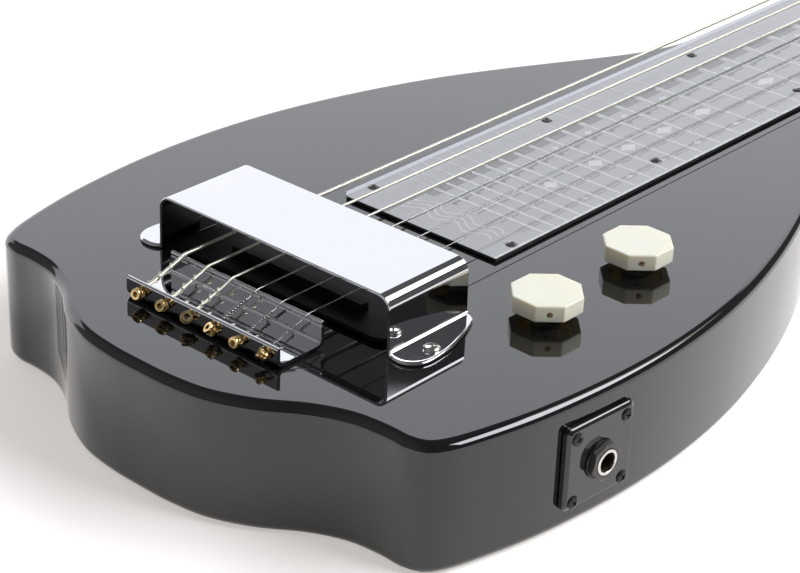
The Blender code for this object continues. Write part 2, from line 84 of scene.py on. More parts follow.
# pickup and its cover
PICKUP_X, PICKUP_RECESS = 25.5, (10.5, 40, 14)  # half width, half length, depth
COVER_X0, COVER_X1, COVER_TOP = 11.3, 50.9, 21.0
COVER_HALF, COVER_SHEET, COVER_BEND, COVER_LEAN = 54.4, 1.2, 5.0, 1.0
FOOT_SCREW = (22.8, 63.0)
FOOT_CENTRE, FOOT_SIZE = (30, 54), (20.5, 13.7)
FOOT_RIM = (  # how far each ring stands in from the edge, and its height
    (0.0, GAP), (0.0, 0.7), (0.09, 1.0), (0.33, 1.27), (0.68, 1.43), (1.1, 1.5),
)
FOOT_HALF = (
    (11.5, 53.9), (10.0, 56.0), (9.3, 58.6), (9.5, 61.8), (11.2, 64.8), (14.2, 66.9), (18.4, 67.7),
    (26.7, 67.0), (33.6, 65.3), (40.0, 63.2), (45.4, 60.9), (48.3, 59.2), (49.6, 57.5), (50.4, 55.6),
    (50.8, 53.9),
)

# controls
KNOBS = (("volume", 69.6, -73.4), ("tone", 122.0, -72.8))
KNOB_R, KNOB_Z0, KNOB_Z1, KNOB_TURN = 13.05, 3.6, 9.7, 21.1
POT_HOLE = 4.0
CAVITY = (38.0, 140.0, -94.0, -51.0)
CAVITY_TOP, CAVITY_RIM, CAVITY_LID = THICK - 6.0, 5.0, 2.0

# jack, in a local frame whose +Z is the outward normal of the side wall
JACK_AT, JACK_SLOPE = (42.95, -116.67, THICK - 24.7), 0.08
JACK_PLATE, JACK_REACH = (-15.9, 15.9, -14.8, 16.0), 11.9
JACK_FACE, JACK_BORE, JACK_HOLE, JACK_DEPTH = 2.5, 3.35, 8.4, 32

# underside
LEGS = (("bass", 8.0, 62.0), ("treble", 8.0, -62.0), ("neck", 380.0, 0.0))
LEG_RECESS = ((20.3, -1), (20.3, 3.0), (7.8, 3.0), (7.8, 16.0))
LEG_BORE, LEG_SCREW_RING = 4.6, 14
LID_SCREWS = ((40, -92), (89, -94.5), (138, -92), (138, -53), (89, -50.5), (40, -53))

# tuners; worm and button turn on one axis, WORM_OUT from the post
POST_X, POST_Y, POST_R, POST_HOLE = (616.5, 651.5, 686.5), 27.0, 3.0, 3.6
WRAP_RISE = 6.6  # above the headstock, where the wire meets its post
WORM_Z, WORM_OUT, BUTTON_Y = HEAD_Z0 - 6.0, 9.7, 42.5
GEAR_TEETH, GEAR_ROOT, GEAR_TIP = 14, 5.3, 6.1
BUTTON_RINGS = (  # along the axis, half width, half thickness
    (0.0, 2.6, 2.6), (0.2, 3.2, 3.2), (1.4, 3.5, 3.4), (2.4, 4.4, 3.5), (3.8, 6.4, 3.7),
    (5.4, 7.6, 3.9), (7.4, 8.2, 4.0), (10.0, 8.1, 4.0), (12.4, 7.2, 3.8), (14.2, 5.6, 3.3),
    (15.4, 3.6, 2.4), (16.0, 1.4, 1.0),
)

# camera, in metres and degrees
CAMERA_AT = (-0.45762, -0.46214, 0.35354 + THICK * MM)
CAMERA_YAW, CAMERA_PITCH, CAMERA_ROLL = 40.737, 27.821, 2.1306
CAMERA_SENSOR, CAMERA_LENS = 36.0, 98.81

# strengths of the light: cove, softbox, its warm flap, and the room's darker and lighter side
COVE, SOFTBOX, FLAP, ROOM, ROOM_LEFT = 1.35, 10.5, 2.2, 0.12, 0.30


# camera

def make_camera():
    """A long lens beyond the tail on the treble side, looking down over the bridge and plate."""
    yaw, pitch, roll = (math.radians(a) for a in (CAMERA_YAW, CAMERA_PITCH, CAMERA_ROLL))
    ahead = Vector((math.cos(yaw) * math.cos(pitch), math.sin(yaw) * math.cos(pitch),
                    -math.sin(pitch)))
    right = Vector((math.sin(yaw), -math.cos(yaw), 0))
    up = right.cross(ahead)
    x_axis = math.cos(roll) * right + math.sin(roll) * up
    y_axis = -math.sin(roll) * right + math.cos(roll) * up
    data = bpy.data.cameras.new("camera")
    data.sensor_width, data.lens = CAMERA_SENSOR, CAMERA_LENS
    data.clip_start, data.clip_end = 0.02, 50.0
    camera = bpy.data.objects.new("camera", data)
    bpy.context.scene.collection.objects.link(camera)
    turn = Matrix((x_axis, y_axis, -ahead)).transposed().to_4x4()
    camera.matrix_world = Matrix.Translation(CAMERA_AT) @ turn
    bpy.context.scene.camera = camera


# materials

def nodes_of(name):
    """A new material with its node tree and its Principled shader."""
    mat = bpy.data.materials.new(name)
    mat.use_nodes = True
    tree = mat.node_tree
    return mat, tree, tree.nodes["Principled BSDF"]


def set_inputs(node, values):
    for key, value in values.items():
        if isinstance(value, tuple) and len(value) == 3 and node.inputs[key].type == "RGBA":
            value = (*value, 1.0)
        node.inputs[key].default_value = value


def surface(name, dark, light, noise=60.0, detail=4.0, rough=(0.3, 0.4), bump=0.0, bump_scale=400.0,
            stretch=(1.0, 1.0, 1.0), **sockets):
    """A Principled material whose colour, roughness and bump vary with noise over the object."""
    mat, tree, shader = nodes_of(name)
    new, link = tree.nodes.new, tree.links.new
    coords = new("ShaderNodeTexCoord")
    mapping = new("ShaderNodeMapping")
    mapping.inputs["Scale"].default_value = stretch
    link(coords.outputs["Object"], mapping.inputs["Vector"])
    cloud = new("ShaderNodeTexNoise")
    set_inputs(cloud, {"Scale": noise, "Detail": detail, "Roughness": 0.6})
    link(mapping.outputs["Vector"], cloud.inputs["Vector"])
    mix = new("ShaderNodeMix")
    mix.data_type = "RGBA"
    mix.inputs["A"].default_value = (*dark, 1.0)
    mix.inputs["B"].default_value = (*light, 1.0)
    link(cloud.outputs["Fac"], mix.inputs["Factor"])
    link(mix.outputs["Result"], shader.inputs["Base Color"])
    spread = new("ShaderNodeMapRange")
    spread.inputs["To Min"].default_value, spread.inputs["To Max"].default_value = rough
    link(cloud.outputs["Fac"], spread.inputs["Value"])
    link(spread.outputs["Result"], shader.inputs["Roughness"])
    if bump:
        grain = new("ShaderNodeTexNoise")
        set_inputs(grain, {"Scale": bump_scale, "Detail": 3.0})
        link(mapping.outputs["Vector"], grain.inputs["Vector"])
        relief = new("ShaderNodeBump")
        set_inputs(relief, {"Strength": 1.0, "Distance": bump * MM})
        link(grain.outputs["Fac"], relief.inputs["Height"])
        link(relief.outputs["Normal"], shader.inputs["Normal"])
    set_inputs(shader, sockets)
    return mat


def wound(name, colour, pitch):
    """Wire windings across the string, as bands of bump along X and bands of colour whose dark part is
    painted shade in the grooves between windings.
    """
    mat, tree, shader = nodes_of(name)
    new, link = tree.nodes.new, tree.links.new
    coords, wave = new("ShaderNodeTexCoord"), new("ShaderNodeTexWave")
    wave.wave_type, wave.bands_direction = "BANDS", "X"
    set_inputs(wave, {"Scale": 2 * math.pi / (20 * pitch * MM), "Distortion": 0.4, "Detail": 1.0})
    link(coords.outputs["Object"], wave.inputs["Vector"])
    # the ramp's dark end, colour times 0.45, is painted shade in the grooves between the windings
    ramp = new("ShaderNodeValToRGB")
    ramp.color_ramp.elements[0].color = (*(c * 0.45 for c in colour), 1.0)
    ramp.color_ramp.elements[1].color = (*colour, 1.0)
    ramp.color_ramp.elements[1].position = 0.55
    link(wave.outputs["Fac"], ramp.inputs["Fac"])
    link(ramp.outputs["Color"], shader.inputs["Base Color"])
    relief = new("ShaderNodeBump")
    set_inputs(relief, {"Strength": 0.5, "Distance": 0.06 * MM})
    link(wave.outputs["Fac"], relief.inputs["Height"])
    link(relief.outputs["Normal"], shader.inputs["Normal"])
    set_inputs(shader, {"Metallic": 0.85, "Roughness": 0.28})
    return mat


def make_materials():
    """Every material, by the short name that the pieces ask for; bump depths are millimetres."""
    m = {}
    m["lacquer"] = surface(
        "gloss_black_lacquer", (0.004, 0.004, 0.0042), (0.007, 0.0068, 0.0068), noise=9.0,
        rough=(0.015, 0.035), bump=0.002, bump_scale=120.0, IOR=1.5,
        **{"Coat Weight": 0.45, "Coat Roughness": 0.006, "Coat IOR": 1.5})
    m["chrome"] = surface(
        "chrome_plate", (0.60, 0.605, 0.615), (0.65, 0.65, 0.66), noise=25.0, rough=(0.02, 0.05),
        bump=0.003, bump_scale=90.0, Metallic=1.0)
    m["nickel"] = surface(
        "nickel_plate", (0.62, 0.60, 0.56), (0.78, 0.76, 0.71), noise=120.0, rough=(0.14, 0.28),
        bump=0.006, bump_scale=900.0, Metallic=1.0)
    m["steel"] = surface(
        "plain_steel", (0.42, 0.42, 0.43), (0.60, 0.60, 0.60), noise=200.0, rough=(0.25, 0.42),
        bump=0.006, bump_scale=1500.0, Metallic=1.0)
    m["brass"] = surface(
        "turned_brass", (0.62, 0.42, 0.16), (0.86, 0.66, 0.34), noise=500.0, rough=(0.16, 0.32),
        bump=0.006, bump_scale=2500.0, Metallic=1.0)
    m["ivory"] = surface(
        "ivory_plastic", (0.97, 0.90, 0.68), (1.0, 0.96, 0.82), noise=70.0, detail=6.0,
        rough=(0.16, 0.30), bump=0.004, bump_scale=300.0, IOR=1.5,
        **{"Subsurface Weight": 0.35, "Subsurface Radius": (0.004, 0.0022, 0.0008),
           "Subsurface Scale": 1.0, "Coat Weight": 0.3, "Coat Roughness": 0.1})
    m["black_plastic"] = surface(
        "satin_black_plastic", (0.012, 0.012, 0.012), (0.026, 0.026, 0.026), noise=300.0,
        rough=(0.22, 0.36), bump=0.008, bump_scale=1800.0)
    m["black_metal"] = surface(
        "black_oxide", (0.018, 0.017, 0.016), (0.06, 0.058, 0.055), noise=600.0, rough=(0.2, 0.4),
        bump=0.006, bump_scale=2500.0, Metallic=0.7)
    m["edge"] = surface(
        "acrylic_edge", (0.018, 0.018, 0.02), (0.045, 0.045, 0.05), noise=90.0, rough=(0.04, 0.12),
        stretch=(0.3, 1.0, 1.0), **{"Coat Weight": 0.5})
    m["print"] = surface(
        "printed_acrylic", (0.27, 0.282, 0.29), (0.35, 0.355, 0.37), noise=26.0, detail=5.0,
        rough=(0.07, 0.13), bump=0.004, bump_scale=200.0, stretch=(0.35, 1.6, 1.0),
        **{"Coat Weight": 0.6, "Coat Roughness": 0.05})
    m["fret_white"] = surface(
        "fret_line_white", (0.48, 0.49, 0.50), (0.60, 0.61, 0.62), noise=300.0, rough=(0.08, 0.16),
        **{"Coat Weight": 0.6, "Coat Roughness": 0.05})
    # grey of the printed bars, also used for the painted shadows that the markers cast onto the
    # backing
    m["grey_print_and_shadow"] = surface(
        "marker_grey_and_painted_shadow", (0.085, 0.09, 0.095), (0.16, 0.165, 0.17), noise=350.0, rough=(0.08, 0.18),
        **{"Coat Weight": 0.6, "Coat Roughness": 0.05})
    m["fret_faint"] = surface(
        "fret_line_faint", (0.36, 0.37, 0.385), (0.44, 0.45, 0.46), noise=300.0, rough=(0.08, 0.16),
        **{"Coat Weight": 0.6, "Coat Roughness": 0.05})
    m["ornament"] = surface(
        "pale_ornament", (0.42, 0.43, 0.44), (0.52, 0.53, 0.54), noise=200.0, rough=(0.08, 0.16),
        **{"Coat Weight": 0.6, "Coat Roughness": 0.05})
    m["screw_grey"] = surface(
        "darkened_screw", (0.16, 0.16, 0.16), (0.34, 0.34, 0.33), noise=700.0, rough=(0.14, 0.3),
        bump=0.004, bump_scale=2500.0, Metallic=0.85)
    m["pickup_black"] = surface(
        "matte_black_bobbin", (0.006, 0.006, 0.006), (0.012, 0.012, 0.012), noise=300.0,
        rough=(0.5, 0.65), bump=0.006, bump_scale=1800.0, **{"Specular IOR Level": 0.15})
    m["jack_face"] = surface(
        "gloss_black_plastic", (0.010, 0.0098, 0.0094), (0.018, 0.0176, 0.017), noise=120.0,
        detail=6.0, rough=(0.04, 0.10), bump=0.002, bump_scale=400.0,
        **{"Coat Weight": 0.45, "Coat Roughness": 0.02})
    m["nut_grey"] = surface(
        "black_nickel", (0.05, 0.049, 0.047), (0.10, 0.098, 0.094), noise=500.0, rough=(0.12, 0.24),
        bump=0.005, bump_scale=2500.0, Metallic=0.6)
    m["bore"] = surface(
        "bore_brown", (0.010, 0.007, 0.004), (0.035, 0.024, 0.014), noise=300.0, rough=(0.5, 0.7),
        **{"Specular IOR Level": 0.1})
    # pale bluish strip along the bass rim: a painted highlight, the bright far edge as seen through
    # the clear acrylic
    m["edge_highlight"] = surface(
        "painted_acrylic_highlight", (0.46, 0.48, 0.55), (0.62, 0.64, 0.72), noise=40.0, rough=(0.06, 0.12),
        stretch=(0.3, 2.0, 1.0), **{"Coat Weight": 0.6})
    # dark to near-white speckle along the treble rim: painted glints, light sparkling on the acrylic
    # edge
    m["edge_glints"] = surface(
        "painted_acrylic_glints", (0.25, 0.25, 0.24), (0.98, 0.97, 0.90), noise=420.0, detail=2.0,
        rough=(0.06, 0.2))
    m["plain_wire"] = surface(
        "plain_string", (0.26, 0.26, 0.25), (0.40, 0.40, 0.38), noise=900.0, rough=(0.12, 0.25),
        Metallic=0.95)
    m["wound"] = wound("wound_string", (0.92, 0.88, 0.74), 0.42)
    return m


# mesh helpers

def loft(rings):
    """A closed skin through rings of equally many points, with a face at each end."""
    bm = bmesh.new()
    rows = [[bm.verts.new(point) for point in ring] for ring in rings]
    count = len(rows[0])
    for low, high in zip(rows, rows[1:]):
        for i in range(count):
            j = (i + 1) % count
            bm.faces.new((low[i], low[j], high[j], high[i]))
    bm.faces.new(rows[0][::-1])
    bm.faces.new(rows[-1])
    return bm


def prism(outline, z0, z1):
    return loft([[(x, y, z) for x, y in outline] for z in (z0, z1)])


def box(x0, x1, y0, y1, z0, z1):
    return prism(((x0, y0), (x1, y0), (x1, y1), (x0, y1)), z0, z1)


def circle(cx, cy, radius, count, turn=0.0):
    step = 2 * math.pi / count
    return [(cx + radius * math.cos(turn + i * step), cy + radius * math.sin(turn + i * step))
            for i in range(count)]


def turned(profile, count, cx=0.0, cy=0.0, turn=0.0):
    """A body turned about Z from (radius, height) pairs."""
    return loft([[(x, y, z) for x, y in circle(cx, cy, r, count, turn)] for r, z in profile])


def rounded_box(x0, x1, y0, y1, radius, steps=6):
    """The outline of a rectangle with round corners."""
    points = []
    for cx, cy, start in ((x1 - radius, y1 - radius, 0), (x0 + radius, y1 - radius, 90),
                          (x0 + radius, y0 + radius, 180), (x1 - radius, y0 + radius, 270)):
        for i in range(steps + 1):
            angle = math.radians(start + 90 * i / steps)
            points.append((cx + radius * math.cos(angle), cy + radius * math.sin(angle)))
    return points


def grown(sides, margin):
    """The sides x0, x1, y0, y1 of a rectangle, each moved out by a margin."""
    x0, x1, y0, y1 = sides
    return x0 - margin, x1 + margin, y0 - margin, y1 + margin


def joined(*parts):
    """One bmesh that holds several."""
    whole = parts[0]
    for part in parts[1:]:
        mesh = bpy.data.meshes.new("part")
        part.to_mesh(mesh)
        part.free()
        whole.from_mesh(mesh)
        bpy.data.meshes.remove(mesh)
    return whole


def raw_object(name, bm, at=None):
    """A mesh object in metres from a bmesh in millimetres, moved by at."""
    bmesh.ops.recalc_face_normals(bm, faces=bm.faces)
    for vert in bm.verts:
        vert.co *= MM
    if at is not None:
        bmesh.ops.transform(bm, matrix=at, verts=bm.verts)
    mesh = bpy.data.meshes.new(name)
    bm.to_mesh(mesh)
    bm.free()
    obj = bpy.data.objects.new(name, mesh)
    bpy.context.scene.collection.objects.link(obj)
    return obj


def applied(obj, kind, **settings):
    """Adds one modifier and bakes it into the mesh."""
    modifier = obj.modifiers.new("step", kind)
    for key, value in settings.items():
        setattr(modifier, key, value)
    bpy.context.view_layer.update()
    graph = bpy.context.evaluated_depsgraph_get()
    done = bpy.data.meshes.new_from_object(obj.evaluated_get(graph))
    obj.modifiers.remove(modifier)
    old, obj.data = obj.data, done
    bpy.data.meshes.remove(old)
    return obj


def combine(obj, bm, operation="DIFFERENCE", at=None):
    """Cuts a tool out of an object, or joins or crosses the two."""
    tool = bm if isinstance(bm, bpy.types.Object) else raw_object("tool", bm, at)
    applied(obj, "BOOLEAN", operation=operation, solver="EXACT", object=tool)
    bpy.data.objects.remove(tool, do_unlink=True)
    return obj


def bevelled(obj, width, segments=2, angle=35.0):
    return applied(obj, "BEVEL", width=width * MM, segments=segments, limit_method="ANGLE",
                   angle_limit=math.radians(angle))


def finished(obj, mat, body="guitar", replaces=(), sharp=32.0):
    """Dresses and shades an object, and says which body carries it and which nodes it replaces."""
    obj.data.materials.clear()
    obj.data.materials.append(MATS[mat])
    for polygon in obj.data.polygons:
        polygon.material_index = 0
        polygon.use_smooth = True
    obj.data.set_sharp_from_angle(angle=math.radians(sharp))
    even = obj.modifiers.new("even", "WEIGHTED_NORMAL")
    even.keep_sharp = True
    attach(obj, body)
    if replaces:
        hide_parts(*replaces)
    return obj


def piece(name, bm, mat, body="guitar", at=None, bevel=0.0, replaces=(), sharp=32.0,
          segments=2):
    """A finished object straight from its bmesh."""
    obj = raw_object(name, bm, at)
    if bevel:
        bevelled(obj, bevel, segments)
    return finished(obj, mat, body, replaces, sharp)


def tube(path, radius, count=12):
    """A capped tube along a path, with frames carried along it."""
    points = [Vector(p) for p in path]
    radii = radius if isinstance(radius, (list, tuple)) else [radius] * len(points)
    side, rings = None, []
    for i, here in enumerate(points):
        along = (points[min(i + 1, len(points) - 1)] - points[max(i - 1, 0)]).normalized()
        if side is None:
            side = Vector((0, 1, 0)) if abs(along.y) < 0.8 else Vector((0, 0, 1))
        side = (side - along * side.dot(along)).normalized()
        other = along.cross(side)
        rings.append([here + radii[i] * (side * math.cos(a) + other * math.sin(a))
                      for a in (2 * math.pi * k / count for k in range(count))])
    return loft(rings)


def spline(points, step, most=8):
    """A smooth curve through every point, at most so many steps to a span."""
    out = []
    for i in range(len(points) - 1):
        p0, p1 = Vector(points[max(i - 1, 0)]), Vector(points[i])
        p2, p3 = Vector(points[i + 1]), Vector(points[min(i + 2, len(points) - 1)])
        count = max(1, min(most, round((p2 - p1).length / step)))
        for k in range(count):
            t = k / count
            out.append(0.5 * (2 * p1 + (p2 - p0) * t + (2 * p0 - 5 * p1 + 4 * p2 - p3) * t * t
                              + (3 * p1 - p0 - 3 * p2 + p3) * t ** 3))
    out.append(Vector(points[-1]))
    return [tuple(p) for p in out]


def inset(outline, distance):
    """The outline moved inwards, each point along the bisector of its two sides."""
    count, out = len(outline), []
    for i in range(count):
        before, here, after = (Vector(outline[(i + k) % count]) for k in (-1, 0, 1))
        first, second = (here - before).normalized(), (after - here).normalized()
        normal = (Vector((-first.y, first.x)) + Vector((-second.y, second.x))).normalized()
        scale = max(0.5, normal.dot(Vector((-second.y, second.x))))
        out.append(tuple(here + normal * distance / scale))
    return out


def rounded_slab(outline, z0, z1, radius, steps):
    """A slab with rounded rims and a narrow flat ring inside each, so its faces shade flat."""
    rings = []
    for side, base in ((-1, z0 + radius), (1, z1 - radius)):
        rows = []
        for i in range(steps + 1):
            a = math.radians(90 * i / steps)
            ring = inset(outline, radius * (1 - math.cos(a)))
            rows.append([(x, y, base + side * radius * math.sin(a)) for x, y in ring])
        ring = inset(outline, radius + 0.4)
        rows.append([(x, y, base + side * radius) for x, y in ring])
        rings += rows[::-1] if side < 0 else rows
    return loft(rings)


def place(x, y, z=0.0):
    """A move by millimetres."""
    return Matrix.Translation(Vector((x, y, z)) * MM)


def jack_frame():
    """The socket's local frame: +Z out of the side wall, +Y up."""
    normal = Vector((-JACK_SLOPE, -1.0, 0.0)).normalized()
    up = Vector((0, 0, 1))
    turn = Matrix((up.cross(normal), up, normal)).transposed().to_4x4()
    return Matrix.Translation(Vector(JACK_AT) * MM) @ turn


# body

def build_body():
    """The lacquered body with its headstock, cavity, rebate, sockets and bores."""
    half = spline(BODY_HALF, 3.5)
    outline = [(x, -y) for x, y in half] + half[:0:-1]
    body = raw_object("gloss_body", rounded_slab(outline, 0, THICK, ROUND, 10))
    half = spline(HEAD_HALF, 3.5)
    outline = [(x, -y) for x, y in half] + half[-2::-1]
    combine(body, rounded_slab(outline, HEAD_Z0, HEAD_Z1, HEAD_ROUND, 6), "UNION")
    combine(body, prism(rounded_box(*CAVITY, 8), -1, CAVITY_TOP))
    combine(body, prism(rounded_box(*grown(CAVITY, CAVITY_RIM), 12), -1, CAVITY_LID))
    half_x, half_y, depth = PICKUP_RECESS
    recess = rounded_box(PICKUP_X - half_x, PICKUP_X + half_x, -half_y, half_y, 4)
    combine(body, prism(recess, THICK - depth, THICK + 1))
    for _, x, y in LEGS:
        combine(body, turned(LEG_RECESS, 48, x, y))
    for _, x, y in KNOBS:
        combine(body, turned(((POT_HOLE, CAVITY_TOP - 2), (POT_HOLE, THICK + 1)), 32, x, y))
    for x in POST_X:
        for side in (-1, 1):
            combine(body, prism(circle(x, side * POST_Y, POST_HOLE, 24), HEAD_Z0 - 1, HEAD_Z1 + 1))
    seat = rounded_box(*grown(JACK_PLATE, 0.5), 2.5)
    combine(body, prism(seat, -0.5, 8), at=jack_frame())
    combine(body, prism(circle(0, 0, JACK_HOLE, 32), -JACK_DEPTH, 3), at=jack_frame())
    finished(body, "lacquer", replaces=("body",), sharp=28.0)


# fretboard

def fret_x(number):
    """Where fret number lies along the frame's X."""
    return SCALE_X + SCALE * 2 ** (-number / 12)


def strips(spans, z0, z1):
    """Flat bars, one for each x0, x1, y0, y1."""
    return joined(*[box(x0, x1, y0, y1, z0, z1) for x0, x1, y0, y1 in spans])


def lying(x0, x1, y0, y1, far_bevel=0.0):
    """A rectangle's corners; the tail corner on the bass side may be cut off by far_bevel."""
    if not far_bevel:
        return [(x0, y0), (x1, y0), (x1, y1), (x0, y1)]
    return [(x0, y0), (x1, y0), (x1, y1), (x0 + far_bevel * 0.88, y1), (x0, y1 - far_bevel)]


def build_fretboard():
    """The plate: a dark slab with the print in its top face, rims with a painted highlight and painted
    glints, lines, markers and painted marker shadows.
    """
    z0, z1 = THICK + GAP, PLATE_TOP
    slab = prism(lying(PLATE_X0, PLATE_X1, PLATE_Y0, PLATE_Y1, PLATE_CORNER), z0, z1)
    piece("plate_slab", slab, "edge", bevel=0.18, replaces=("fretboard_plate",))
    left, right, low, high = PLATE_X0 + 0.3, PLATE_X1 - 0.3, PLATE_Y0 + 1.5, PLATE_Y1 - 2.6
    sheet = prism(lying(left, right, low, high, 0.9), z1 - 0.1, z1 + 0.02)
    piece("plate_print", sheet, "print")
    # painted highlight along the bass rim
    piece("painted_highlight_bass_edge",
          prism([(left + 2.7, PLATE_Y1 - 0.3), (left, high), (right, high), (right, PLATE_Y1 - 0.3)],
                z1 - 0.1, z1 + 0.025), "edge_highlight")
    # painted glints along the treble rim
    piece("painted_glints_treble_edge", box(left, right, PLATE_Y0 + 0.28, low, z1 - 0.1, z1 + 0.025),
          "edge_glints")
    lines, faint = [], []
    for n in range(1, FRETS + 1):
        lines.append((fret_x(n) - 0.55, fret_x(n) + 0.55, PLATE_Y0 + 1.7, LINE_SPLIT))
        faint.append((fret_x(n) - 0.45, fret_x(n) + 0.45, LINE_SPLIT, PLATE_Y1 - 3.0))
    piece("fret_lines", strips(lines, z1, z1 + 0.04), "fret_white")
    piece("fret_lines_far", strips(faint, z1, z1 + 0.038), "fret_faint")
    bars, shadow_dashes, diamonds = [], [], []
    for n in range(1, FRETS + 2):
        near = fret_x(n)
        cell = fret_x(n - 1) - near
        bars.append((near + 0.10 * cell, near + 0.84 * cell, 12.0, 16.0))
        # the dashes are painted shadows of the printed markers on the backing
        for start, end, y0, y1 in ((0.14, 0.84, 2.6, 3.7), (0.14, 0.34, 1.4, 2.7),
                                   (0.16, 0.86, -9.3, -8.5), (0.18, 0.84, -19.9, -19.4),
                                   (0.14, 0.86, -27.6, -27.2), (0.14, 0.86, -30.1, -29.7)):
            shadow_dashes.append((near + start * cell, near + end * cell, y0, y1))
    piece("marker_bars", strips(bars, z1, z1 + 0.035), "grey_print_and_shadow")
    piece("painted_marker_shadows", strips(shadow_dashes, z1, z1 + 0.035), "grey_print_and_shadow")
    for n in MARKED_FRETS:
        middle = (fret_x(n) + fret_x(n - 1)) / 2
        wide = min(4.6, 0.30 * (fret_x(n - 1) - fret_x(n)))
        for y, size in ((-12.2, 1.4), (-28.6, 0.6), (7.6, 0.6)):
            points = [(middle + wide * size * math.cos(a), y + 2.3 * size * math.sin(a))
                      for a in (math.pi * k / 2 for k in range(4))]
            diamonds.append(prism(points, z1, z1 + 0.05))
    piece("marker_diamonds", joined(*diamonds), "fret_white")
    waves = []
    for k in range(3):
        middle = [(98.0 + 3.6 * k + 1.9 * math.sin(t * 0.42), -26 + t)
                  for t in (0.5 * i for i in range(84))]
        outline = [(x - 0.5, y) for x, y in middle] + [(x + 0.5, y) for x, y in middle[::-1]]
        waves.append(prism(outline, z1, z1 + 0.045))
    piece("tail_ornament", joined(*waves), "ornament")
    for i, (x, y) in enumerate(PLATE_SCREWS):
        for side, label in ((1, "b"), (-1, "t")):
            phillips(f"plate_screw_{label}{i + 1}", place(x, side * y, z1 + 0.02), 2.3, 0.75,
                     "screw_grey", turn=i * 37 + side * 11)


# screws

def phillips(name, at, radius, dome, mat, body="guitar", turn=0.0, replaces=(), shank=0.0):
    """An oval-head screw with a cross recess, its rim at the local z of 0."""
    rows = [(radius, 0.0), (radius * 0.985, dome * 0.22)]
    for i in range(1, 7):
        a = math.radians(90 * i / 6)
        rows.append((max(0.02, radius * math.cos(a * 0.98)), dome * (0.22 + 0.78 * math.sin(a))))
    low = [(radius * 0.4, -shank), (radius * 0.4, -0.05)] if shank else [(radius * 0.9, -0.12)]
    screw = raw_object(name, turned(low + rows, 28))
    long, wide, deep = radius * 0.56, radius * 0.15, dome * 0.95
    for k in (0, 90):
        arm = loft([[(-long * s, -wide * s, z), (long * s, -wide * s, z), (long * s, wide * s, z),
                     (-long * s, wide * s, z)] for s, z in ((0.45, dome - deep), (1.15, dome + 0.3))])
        combine(screw, arm, at=Matrix.Rotation(math.radians(k), 4, "Z"))
    screw.data.transform(at @ Matrix.Rotation(math.radians(turn), 4, "Z"))
    return finished(screw, mat, body, replaces)


# bridge and strings

def bend(cx, cz, radius, start, end, steps=8):
    """Points along an arc, from one angle in degrees to another."""
    return [(cx + radius * math.cos(math.radians(start + (end - start) * i / steps)),
             cz + radius * math.sin(math.radians(start + (end - start) * i / steps)))
            for i in range(steps + 1)]


def build_bridge():
    """A chrome channel bent from one sheet, its free edges rounded, and the saddle wire on it."""
    z0, t, big = THICK + GAP, BRIDGE_SHEET, 3.0
    small = big - t
    x0, x1, lip, wall = BRIDGE_X0, BRIDGE_X1, THICK + BRIDGE_LIP, THICK + BRIDGE_WALL
    section = bend(x0 + 0.7, lip - 0.7, 0.7, 90, 180, 6)
    section += bend(x0 + big, z0 + big, big, 180, 270) + bend(x1 - big, z0 + big, big, 270, 360)
    section += [(x1, wall - 0.4), (x1 - 0.4, wall), (x1 - t + 0.4, wall), (x1 - t, wall - 0.4)]
    section += bend(x1 - big, z0 + big, small, 360, 270) + bend(x0 + big, z0 + big, small, 270, 180)
    section += bend(x0 + t - 0.35, lip - 0.35, 0.35, 0, 90, 3)
    rings = [[(x, y, z) for x, z in section] for y in (-BRIDGE_HALF, BRIDGE_HALF)]
    channel = raw_object("bridge_sheet", loft(rings))
    across = Matrix.Rotation(math.radians(90), 4, "Y")
    for y in STRING_Y:
        at = place(x0 + 0.5, y, THICK + STRING_HOLE) @ across
        combine(channel, prism(circle(0, 0, 1.1, 20), -2, 3), at=at)
    bevelled(channel, 0.3, 3, 60)
    finished(channel, "chrome", replaces=("bridge_channel",), sharp=40)
    z = THICK + SADDLE_TOP - ROD_R
    rod = tube([(ROD_X, side * y, z) for side, y in ((-1, BRIDGE_HALF), (-1, BRIDGE_HALF - 0.2),
                                                      (1, BRIDGE_HALF - 0.2), (1, BRIDGE_HALF))],
               [ROD_R - 0.2, ROD_R, ROD_R, ROD_R - 0.2], 20)
    piece("saddle_wire", rod, "chrome", replaces=("saddle_rod",), sharp=50)


def string_route(index):
    """The wire's path from the bridge's rear wall over saddle and nut to its post."""
    y, r = STRING_Y[index], STRING_R[index]
    top, nut = THICK + SADDLE_TOP + r, THICK + NUT_TOP + r + 0.02
    start, length = 1.4, NUT_X - 0.7
    order = index if index < 3 else 5 - index
    side = 1 if y > 0 else -1
    post_x, post_y = POST_X[order], side * (POST_Y - POST_R - r)
    ends = [(-21.2, y, THICK + STRING_HOLE), (-19.0, y, THICK + STRING_HOLE + 0.3),
            (-3.6, y, top - 1.35), (-1.9, y, top - 0.48), (-0.4, y, top - 0.03), (start, y, top)]
    after = [(NUT_X + 0.5, y, nut), (NUT_X + 3.2, y, nut), (NUT_X + 5.4, y, nut - 0.55)]
    last = [(post_x - 3, post_y, HEAD_Z1 + 6.9), (post_x + 0.2, post_y, HEAD_Z1 + WRAP_RISE)]
    run = [(start + length * k / 12, y, top + (nut - top) * k / 12) for k in range(1, 12)]
    return spline(ends, 0.8, 6) + run + after + last, side, order


